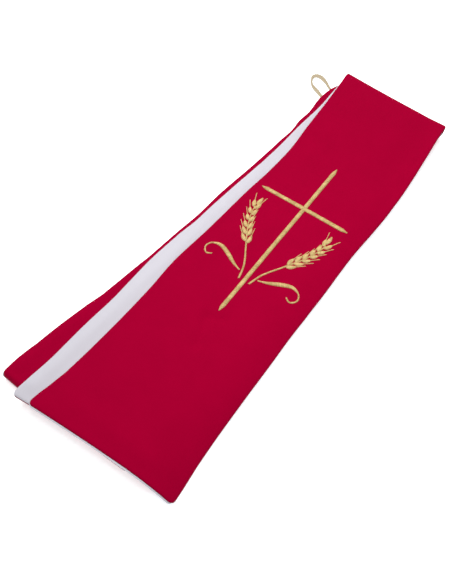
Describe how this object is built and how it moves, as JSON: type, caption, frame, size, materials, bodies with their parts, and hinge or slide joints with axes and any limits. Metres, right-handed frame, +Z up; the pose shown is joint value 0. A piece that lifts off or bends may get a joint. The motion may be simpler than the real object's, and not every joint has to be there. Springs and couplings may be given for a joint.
{
  "type": "clerical stole",
  "caption": "Reversible clerical stole, red on one face and white on the other, folded for storage and lying flat, with gold embroidery near its flared hem and a narrow hanging loop.",
  "frame": {"origin": "on the supporting surface, under the middle of the folded cloth's bounding box", "axes": "+Y along the folded stole from its hems towards the outer fold, +Z up from the surface, +X to the right of the embroidery seen upright"},
  "size_m": [0.1778, 0.449, 0.0187],
  "materials": {
    "red_cloth": "matte polyester gabardine, crimson red, fine twill",
    "white_cloth": "matte polyester gabardine, cool white, fine twill",
    "gold_thread": "satin stitch in lustrous gold embroidery thread",
    "loop_braid": "narrow flat braid, cream and pale gold, slight sheen"
  },
  "bodies": {
    "root": {"top_red_face": "red_cloth", "top_white_face": "white_cloth", "second_white_face": "white_cloth", "second_red_face": "red_cloth", "third_red_face": "red_cloth", "third_white_face": "white_cloth", "folded_layers": "red_cloth", "cross_upright": "gold_thread", "cross_arm_left": "gold_thread", "cross_arm_right": "gold_thread", "wheat_left": "gold_thread", "wheat_right": "gold_thread", "leaf_left": "gold_thread", "leaf_right": "gold_thread", "hanging_loop": "loop_braid"}
  },
  "joints": []
}
